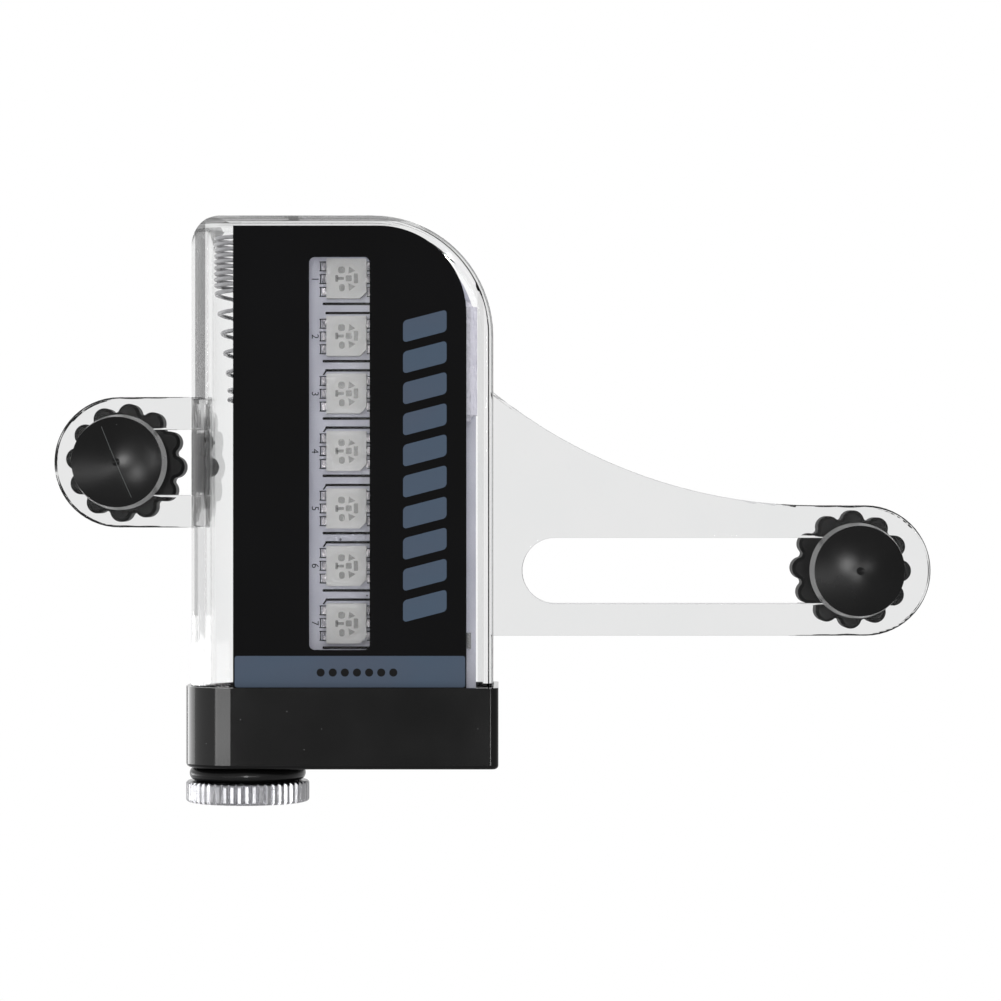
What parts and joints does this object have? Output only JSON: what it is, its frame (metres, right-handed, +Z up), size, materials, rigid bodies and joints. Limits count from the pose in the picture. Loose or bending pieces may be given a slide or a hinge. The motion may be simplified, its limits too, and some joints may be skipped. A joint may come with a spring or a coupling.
{
  "type": "spoke wheel light",
  "caption": "Clear-cased light for bicycle spokes, with a knurled battery cap, a lit board behind label windows, and slotted arms that carry star-nut spoke clamps.",
  "frame": {"origin": "middle of the left spoke seat, on the axis of the spoke that lies in it", "axes": "+Z up along the spokes, towards the closed end of the casing; the front with the clamp heads faces -Y; +X from the short arm to the long arm"},
  "size_m": [0.1101, 0.0185, 0.0732],
  "materials": {
    "clear_plastic": "clear, polished",
    "black_gloss_plastic": "glossy black",
    "black_clamp_plastic": "satin black",
    "label_film": "printed film, black with slate marks",
    "board_laminate": "lavender grey solder mask",
    "led_package": "off-white moulded",
    "led_lens": "clear silicone",
    "tinned_copper": "tinned",
    "spring_steel": "nickel-plated wire",
    "nickel_brass": "nickel-plated brass",
    "cap_aluminium": "turned and knurled",
    "seal_rubber": "smooth black",
    "chip_epoxy": "moulded black",
    "coil_ferrite": "dark ferrite",
    "switch_can": "plated can",
    "resistor_ceramic": "glazed ceramic",
    "foam": "white foam"
  },
  "bodies": {
    "casing": {"clear_shell": "clear_plastic", "base": "black_gloss_plastic", "front_label": "label_film", "back_label": "label_film", "circuit_board": "board_laminate", "led_packages_front": "led_package", "led_packages_back": "led_package", "led_lenses_front": "led_lens", "led_lenses_back": "led_lens", "led_leads_front": "tinned_copper", "led_leads_back": "tinned_copper", "battery_spring": "spring_steel", "solder_joint": "tinned_copper", "threaded_collar": "nickel_brass", "collar_lead": "tinned_copper", "controller_chip": "chip_epoxy", "boost_coil": "coil_ferrite", "motion_switch": "switch_can", "chip_resistors": "resistor_ceramic", "foam_pad": "foam"},
    "sealing_ring": {"o_ring": "seal_rubber"},
    "cap": {"battery_cap": "cap_aluminium"},
    "left_clamp": {"left_clamp_bolt": "black_clamp_plastic"},
    "left_nut": {"left_star_nut": "black_clamp_plastic"},
    "right_clamp": {"right_clamp_bolt": "black_clamp_plastic"},
    "right_nut": {"right_star_nut": "black_clamp_plastic"}
  },
  "joints": [
    {"name": "cap_lift", "type": "slide", "parent": "casing", "child": "sealing_ring", "axis": [0, 0, -1], "range_m": [0, 0.055]},
    {"name": "cap_turn", "type": "hinge", "parent": "sealing_ring", "child": "cap", "pos_m": [0.01604, -0.0025, -0.0413], "axis": [0, 0, -1], "continuous": true},
    {"name": "left_clamp_slide", "type": "slide", "parent": "casing", "child": "left_clamp", "axis": [1, 0, 0], "range_m": [0, 0.0012]},
    {"name": "left_nut_travel", "type": "slide", "parent": "left_clamp", "child": "left_nut", "axis": [0, 1, 0], "range_m": [-0.0041, 0.009]},
    {"name": "right_clamp_slide", "type": "slide", "parent": "casing", "child": "right_clamp", "axis": [1, 0, 0], "range_m": [-0.0378, 0.001]},
    {"name": "right_nut_travel", "type": "slide", "parent": "right_clamp", "child": "right_nut", "axis": [0, 1, 0], "range_m": [-0.0041, 0.009]}
  ]
}
